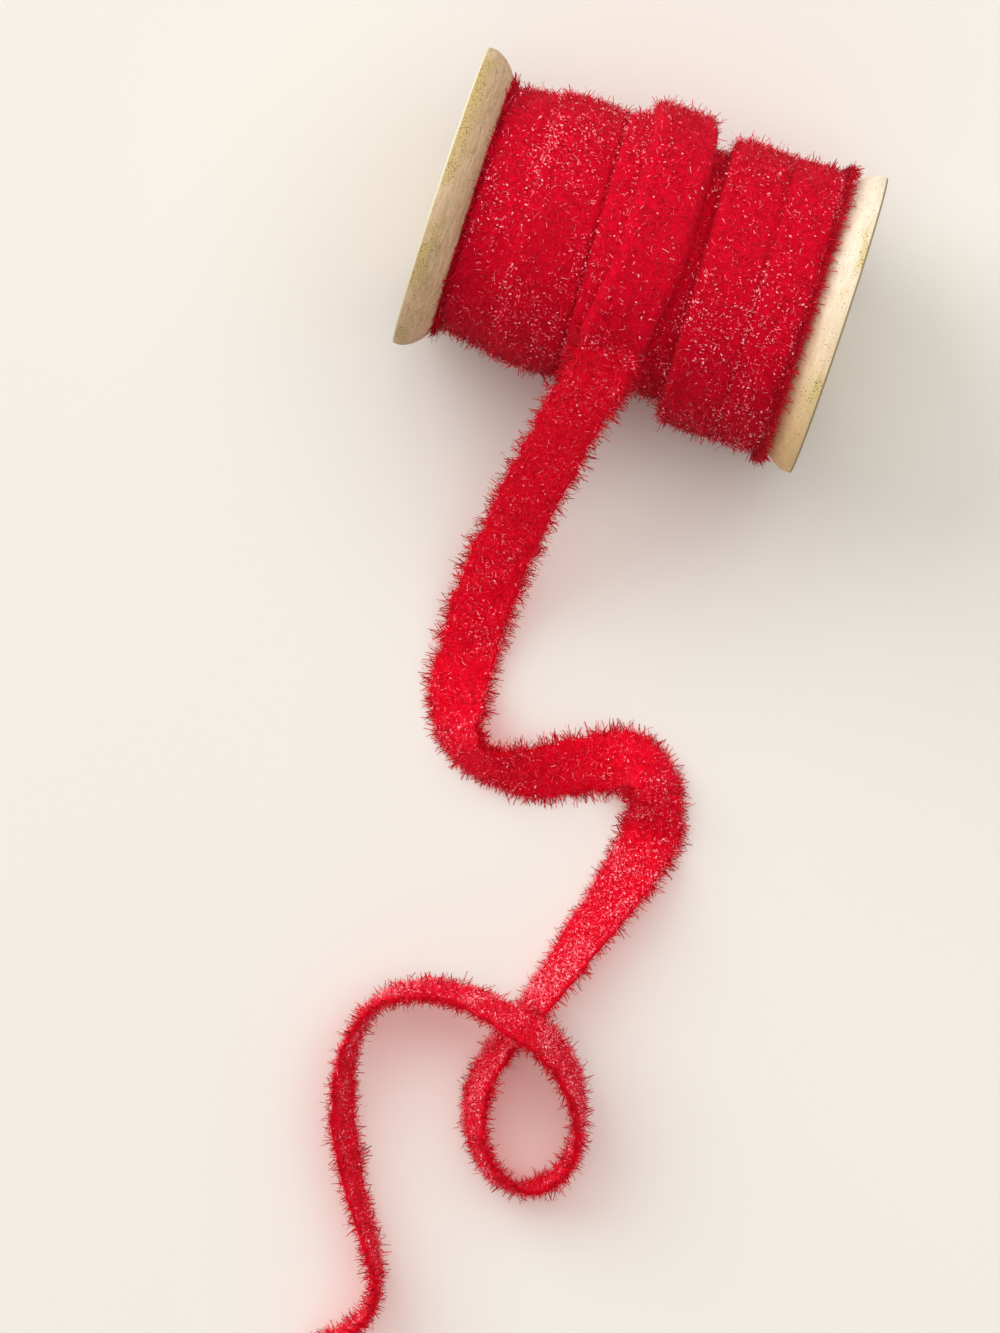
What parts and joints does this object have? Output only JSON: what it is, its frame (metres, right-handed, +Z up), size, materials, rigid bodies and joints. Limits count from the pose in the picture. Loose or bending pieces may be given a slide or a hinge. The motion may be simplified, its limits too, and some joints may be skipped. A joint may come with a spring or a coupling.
{
  "type": "roll of eyelash ribbon on a wooden spool",
  "caption": "Red tinsel eyelash ribbon wound on a turned wooden spool lying on its side, its loose end trailing in bends and a loop.",
  "frame": {"origin": "on the floor, under the middle of the whole part's box", "axes": "+X along the spool's axle to the right end disc, +Y to the back, away from the loose end, +Z up"},
  "size_m": [0.0876, 0.2648, 0.0628],
  "materials": {
    "wood_tan": "bare turned wood, rough, with fine dark pits and grain",
    "wood_pale": "bare turned wood, pale cream to gold",
    "ribbon_red": "woven ribbon with dense short glossy red tinsel lashes that sparkle"
  },
  "bodies": {
    "root": {"flange_left": "wood_tan", "flange_right": "wood_pale", "barrel": "wood_pale", "winding": "ribbon_red", "tail": "ribbon_red"}
  },
  "joints": []
}
